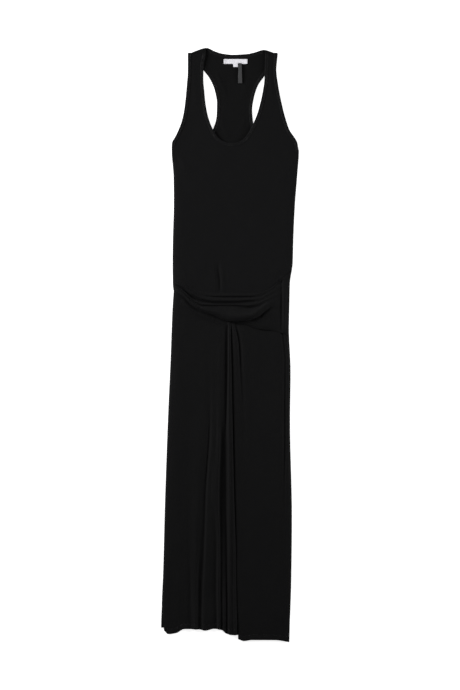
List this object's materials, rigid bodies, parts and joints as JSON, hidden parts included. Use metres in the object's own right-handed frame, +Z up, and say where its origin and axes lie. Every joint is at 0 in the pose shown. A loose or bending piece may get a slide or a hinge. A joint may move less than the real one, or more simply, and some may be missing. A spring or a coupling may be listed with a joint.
{
  "type": "maxi dress",
  "caption": "Sleeveless maxi dress in black jersey, laid flat: racer back, scooped neck, draped swag across the hips and a long lapped, pleated skirt.",
  "frame": {"origin": "on the surface that the dress lies on, under the middle of its outline", "axes": "+X to the right of someone looking down at the front, +Y from the hem to the neck, +Z up from the surface, through the back and then the front"},
  "size_m": [0.3504, 1.5148, 0.0195],
  "materials": {
    "jersey": "fine black viscose jersey, matt with a faint soft sheen",
    "binding": "doubled black jersey binding, twin stitched",
    "label": "blank white woven tape",
    "ribbon": "dark grey satin ribbon"
  },
  "bodies": {
    "root": {"back_panel": "jersey", "front_bodice": "jersey", "hip_drape": "jersey", "front_skirt_left": "jersey", "front_skirt_right": "jersey", "neck_binding_front": "binding", "neck_binding_back": "binding", "armhole_binding_front_left": "binding", "armhole_binding_front_right": "binding", "armhole_binding_back_left": "binding", "armhole_binding_back_right": "binding", "neck_label": "label", "size_tab": "label", "hanger_loop": "ribbon"}
  },
  "joints": []
}
